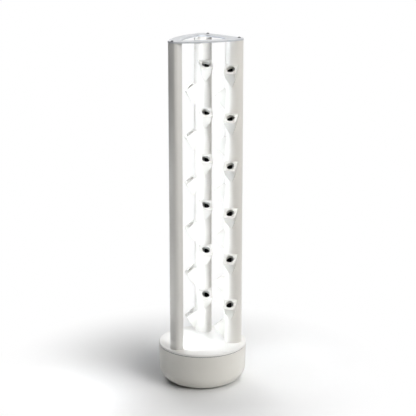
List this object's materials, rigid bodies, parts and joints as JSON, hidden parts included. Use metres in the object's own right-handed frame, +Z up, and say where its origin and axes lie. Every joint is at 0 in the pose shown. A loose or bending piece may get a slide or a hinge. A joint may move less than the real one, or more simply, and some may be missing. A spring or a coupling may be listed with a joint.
{
  "type": "hydroponic tower",
  "caption": "Floor-standing hydroponic tower: round water tub and lid, round grow columns with sloped planting ports, a slim light column and a flat tie frame across the tops.",
  "frame": {"origin": "on the floor under the centre of the tub", "axes": "+Z up; the light column stands towards -Y and the grow columns towards +Y, one to -X and one to +X"},
  "size_m": [0.45, 0.45, 1.772],
  "materials": {
    "tub_plastic": "fine moulded grain",
    "white_plastic": "satin moulded",
    "black_rubber": "matt",
    "pipe_plastic": "satin moulded",
    "hose_rubber": "smooth",
    "screw_steel": "dark coated",
    "light_paint": "satin powder coat",
    "light_plug_plastic": "satin moulded",
    "opal_plastic": "opal",
    "board_aluminium": "satin",
    "chip_plastic": "smooth",
    "frame_paint": "satin powder coat",
    "pump_plastic": "moulded",
    "impeller_plastic": "moulded",
    "shaft_steel": "ground"
  },
  "bodies": {
    "tub": {"reservoir_tub": "tub_plastic", "tub_feet": "black_rubber", "cable_gland": "black_rubber"},
    "lid_stack": {"lid": "white_plastic", "lid_seal": "black_rubber", "lower_column_left": "white_plastic", "lower_column_right": "white_plastic", "upper_column_left": "white_plastic", "upper_column_right": "white_plastic", "column_cap_left": "white_plastic", "column_cap_right": "white_plastic", "riser_pipe_left": "pipe_plastic", "riser_pipe_right": "pipe_plastic", "drip_head_left": "pipe_plastic", "drip_head_right": "pipe_plastic", "pipe_spider_left": "pipe_plastic", "pipe_spider_right": "pipe_plastic", "hose_left": "hose_rubber", "hose_right": "hose_rubber", "light_housing": "light_paint", "light_diffuser": "opal_plastic", "light_board": "board_aluminium", "light_chips": "chip_plastic", "light_top_plug": "light_plug_plastic", "light_foot": "light_plug_plastic", "pump_body": "pump_plastic", "pump_cover": "pump_plastic", "pump_shaft": "shaft_steel", "drop_pipe": "pipe_plastic", "hose_tee": "pipe_plastic", "port_left_a1": "white_plastic", "port_left_a2": "white_plastic", "port_left_a3": "white_plastic", "port_left_a4": "white_plastic", "port_left_a5": "white_plastic", "port_left_a6": "white_plastic", "port_left_b1": "white_plastic", "port_left_b2": "white_plastic", "port_left_b3": "white_plastic", "port_left_b4": "white_plastic", "port_left_b5": "white_plastic", "port_left_b6": "white_plastic", "port_right_a1": "white_plastic", "port_right_a2": "white_plastic", "port_right_a3": "white_plastic", "port_right_a4": "white_plastic", "port_right_a5": "white_plastic", "port_right_a6": "white_plastic", "port_right_b1": "white_plastic", "port_right_b2": "white_plastic", "port_right_b3": "white_plastic", "port_right_b4": "white_plastic", "port_right_b5": "white_plastic", "port_right_b6": "white_plastic"},
    "tie_frame": {"tie_frame": "frame_paint"},
    "tie_screw_left": {"tie_screw_left": "screw_steel"},
    "tie_screw_right": {"tie_screw_right": "screw_steel"},
    "tie_screw_light": {"tie_screw_light": "screw_steel"},
    "pump_impeller": {"pump_impeller": "impeller_plastic"}
  },
  "joints": [
    {"name": "lid_lift", "type": "slide", "parent": "tub", "child": "lid_stack", "axis": [0, 0, 1], "range_m": [0, 0.2]},
    {"name": "frame_lift", "type": "slide", "parent": "lid_stack", "child": "tie_frame", "axis": [0, 0, 1], "range_m": [0, 0.06]},
    {"name": "tie_screw_left_turn", "type": "hinge", "parent": "tie_frame", "child": "tie_screw_left", "pos_m": [-0.113, 0.143, 1.7604], "axis": [0, 0, 1], "continuous": true},
    {"name": "tie_screw_right_turn", "type": "hinge", "parent": "tie_frame", "child": "tie_screw_right", "pos_m": [0.113, 0.143, 1.7604], "axis": [0, 0, 1], "continuous": true},
    {"name": "tie_screw_light_turn", "type": "hinge", "parent": "tie_frame", "child": "tie_screw_light", "pos_m": [0, -0.195, 1.7604], "axis": [0, 0, 1], "continuous": true},
    {"name": "impeller_spin", "type": "hinge", "parent": "lid_stack", "child": "pump_impeller", "pos_m": [0, 0, 0.046], "axis": [0, 1, 0], "continuous": true}
  ]
}
